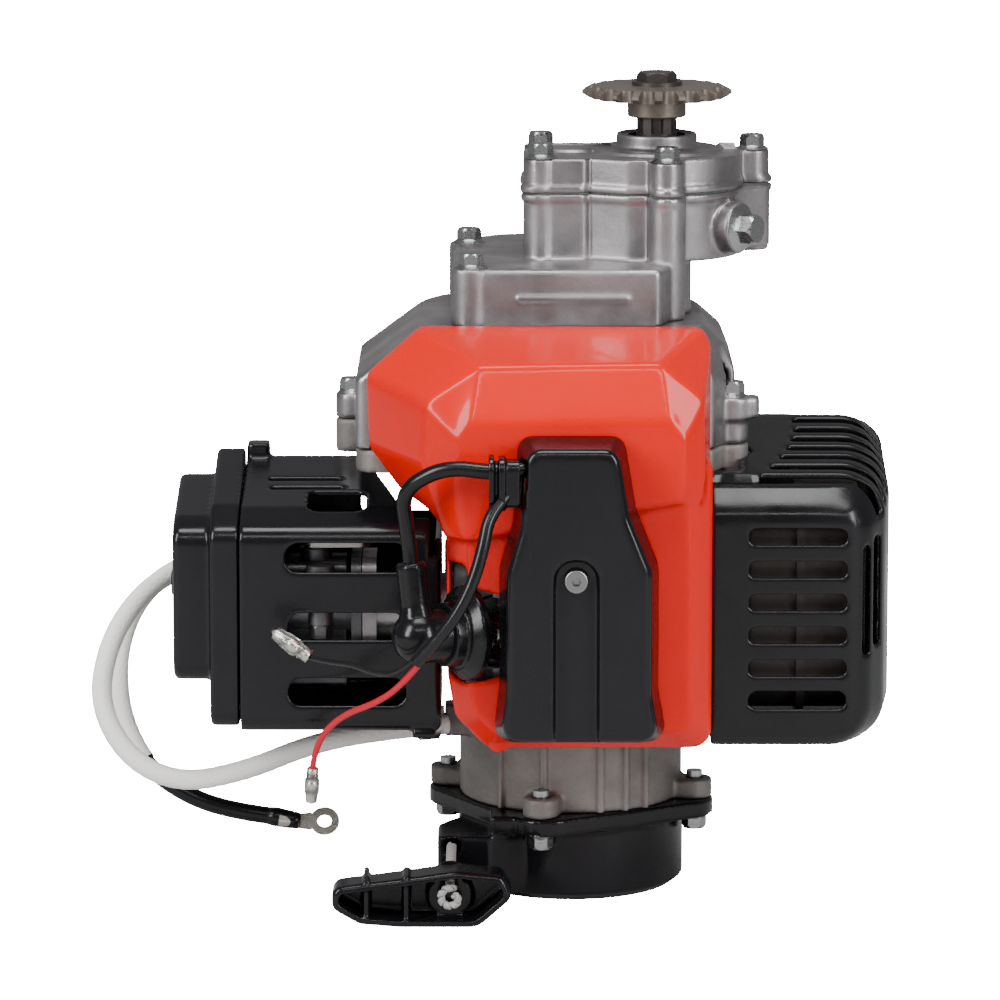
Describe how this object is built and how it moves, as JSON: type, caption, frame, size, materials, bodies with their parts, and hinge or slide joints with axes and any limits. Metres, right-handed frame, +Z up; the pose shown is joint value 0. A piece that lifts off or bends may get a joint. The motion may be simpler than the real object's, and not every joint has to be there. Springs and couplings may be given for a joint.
{
  "type": "small gasoline engine",
  "caption": "Small two-stroke gasoline engine with recoil starter, fan-cooled cylinder shroud, clutch, reduction gearbox and chain sprocket.",
  "frame": {"origin": "crankshaft axis at the outer face of the recoil starter, which the engine stands on", "axes": "+Z up the crankshaft axis towards the gearbox and sprocket, -Y along the cylinder to the head, +X to the silencer"},
  "size_m": [0.2917, 0.227, 0.3039],
  "materials": {
    "black_plastic": "semi-gloss moulded, faint texture",
    "black_guard": "semi-gloss moulded, broad highlights",
    "red_plastic": "glossy orange red",
    "cast_aluminium": "raw die-cast, satin",
    "cast_grey": "die-cast, grey brown, rough",
    "zinc_steel": "bright zinc",
    "dark_steel": "blackened steel",
    "black_screw": "black oxide",
    "steel": "machined",
    "sprocket_steel": "blackened",
    "friction": "rough",
    "gasket": "paper",
    "black_rubber": "satin",
    "coil_resin": "potting resin",
    "rope": "twisted cord",
    "reel_plastic": "moulded",
    "foam": "open foam",
    "carb_metal": "die-cast",
    "wire_sleeve": "satin",
    "wire_black": "PVC",
    "wire_red": "PVC",
    "connector_metal": "tinned",
    "glass_braid": "braided glass-fibre sleeve"
  },
  "bodies": {
    "root": {"starter_housing": "black_plastic", "starter_bolts": "zinc_steel", "recoil_spring": "steel", "crankcase_lower": "cast_grey", "crankcase_upper": "cast_grey", "gaskets": "gasket", "engine_bolts": "zinc_steel", "crank_bearings": "steel", "cylinder": "cast_aluminium", "spark_plug": "zinc_steel", "plug_cap": "black_rubber", "plug_boot": "black_rubber", "ignition_coil": "coil_resin", "ht_lead": "black_rubber", "coil_cover": "black_plastic", "coil_cover_screw": "black_screw", "lead_grommet": "black_rubber", "shroud": "red_plastic", "fan_housing": "cast_aluminium", "fan_housing_bolts": "zinc_steel", "gearbox_case": "cast_aluminium", "gearbox_cover": "cast_aluminium", "gearbox_bolts": "zinc_steel", "oil_bolt": "zinc_steel", "gearbox_bearings": "steel", "output_seal": "black_rubber", "intake_manifold": "cast_aluminium", "carburetor": "carb_metal", "air_box": "black_plastic", "air_filter_cover": "black_plastic", "air_filter_foam": "foam", "muffler": "dark_steel", "muffler_cover": "black_guard", "kill_wire_sleeve": "wire_sleeve", "kill_wire_black": "wire_black", "kill_wire_red": "wire_red", "bullet_connectors": "connector_metal", "earth_cable": "glass_braid", "earth_terminal": "connector_metal", "cable_clip": "steel"},
    "crank": {"crankshaft": "steel", "flywheel": "cast_aluminium", "clutch_hub": "cast_aluminium", "starter_cup": "steel"},
    "shoe_a": {"clutch_shoe_a": "friction"},
    "shoe_b": {"clutch_shoe_b": "friction"},
    "drum": {"clutch_drum": "steel"},
    "output": {"output_shaft": "dark_steel", "output_gear": "steel", "sprocket": "sprocket_steel", "sprocket_bolt": "dark_steel"},
    "piston": {"piston": "cast_aluminium", "piston_rings_and_pin": "steel", "connecting_rod": "steel"},
    "reel": {"starter_reel": "reel_plastic"},
    "pawl": {"starter_pawl": "steel"},
    "handle": {"pull_handle": "black_plastic", "starter_rope": "rope"},
    "throttle": {"throttle_lever": "steel"},
    "choke": {"choke_lever": "steel"}
  },
  "joints": [
    {"name": "output_spin", "type": "hinge", "parent": "root", "child": "output", "pos_m": [0.03111, -0.003, 0.297], "axis": [0, 0, 1], "continuous": true},
    {"name": "pinion_spin", "type": "hinge", "parent": "root", "child": "drum", "pos_m": [0, 0, 0.25], "axis": [0, 0, 1], "continuous": true},
    {"name": "crank_spin", "type": "hinge", "parent": "root", "child": "crank", "pos_m": [0, 0, 0.116], "axis": [0, 0, 1], "continuous": true},
    {"name": "shoe_a_swing", "type": "hinge", "parent": "crank", "child": "shoe_a", "pos_m": [0.027, 0, 0.227], "axis": [0, 0, 1], "range_deg": [-1, 0], "stiffness_Nm_per_rad": 30},
    {"name": "shoe_b_swing", "type": "hinge", "parent": "crank", "child": "shoe_b", "pos_m": [-0.027, 0, 0.227], "axis": [0, 0, 1], "range_deg": [-1, 0], "stiffness_Nm_per_rad": 30},
    {"name": "piston_slide", "type": "slide", "parent": "root", "child": "piston", "axis": [0, 1, 0], "range_m": [0, 0.034], "deforming": ["connecting_rod"]},
    {"name": "handle_pull", "type": "slide", "parent": "root", "child": "handle", "axis": [0, -1, 0], "range_m": [0, 0.75], "stiffness_N_per_m": 20, "springref_m": -0.3, "deforming": ["starter_rope"]},
    {"name": "reel_spin", "type": "hinge", "parent": "root", "child": "reel", "pos_m": [0, 0, 0.0136], "axis": [0, 0, 1], "range_deg": [0, 1660]},
    {"name": "pawl_swing", "type": "hinge", "parent": "reel", "child": "pawl", "pos_m": [0.014, 0, 0.02], "axis": [0, 0, 1], "range_deg": [-12, 0], "stiffness_Nm_per_rad": 0.05},
    {"name": "throttle_turn", "type": "hinge", "parent": "root", "child": "throttle", "pos_m": [-0.093, -0.066, 0.138], "axis": [0, 0, 1], "range_deg": [0, 70], "stiffness_Nm_per_rad": 0.05, "springref_deg": -17.19},
    {"name": "choke_turn", "type": "hinge", "parent": "root", "child": "choke", "pos_m": [-0.125, -0.003, 0.121], "axis": [0, 1, 0], "range_deg": [-60, 0]}
  ],
  "couplings": [
    {"joint": "pinion_spin", "follows": "output_spin", "ratio": -3.1667},
    {"joint": "reel_spin", "follows": "handle_pull", "rad_per_m": 38.462}
  ]
}
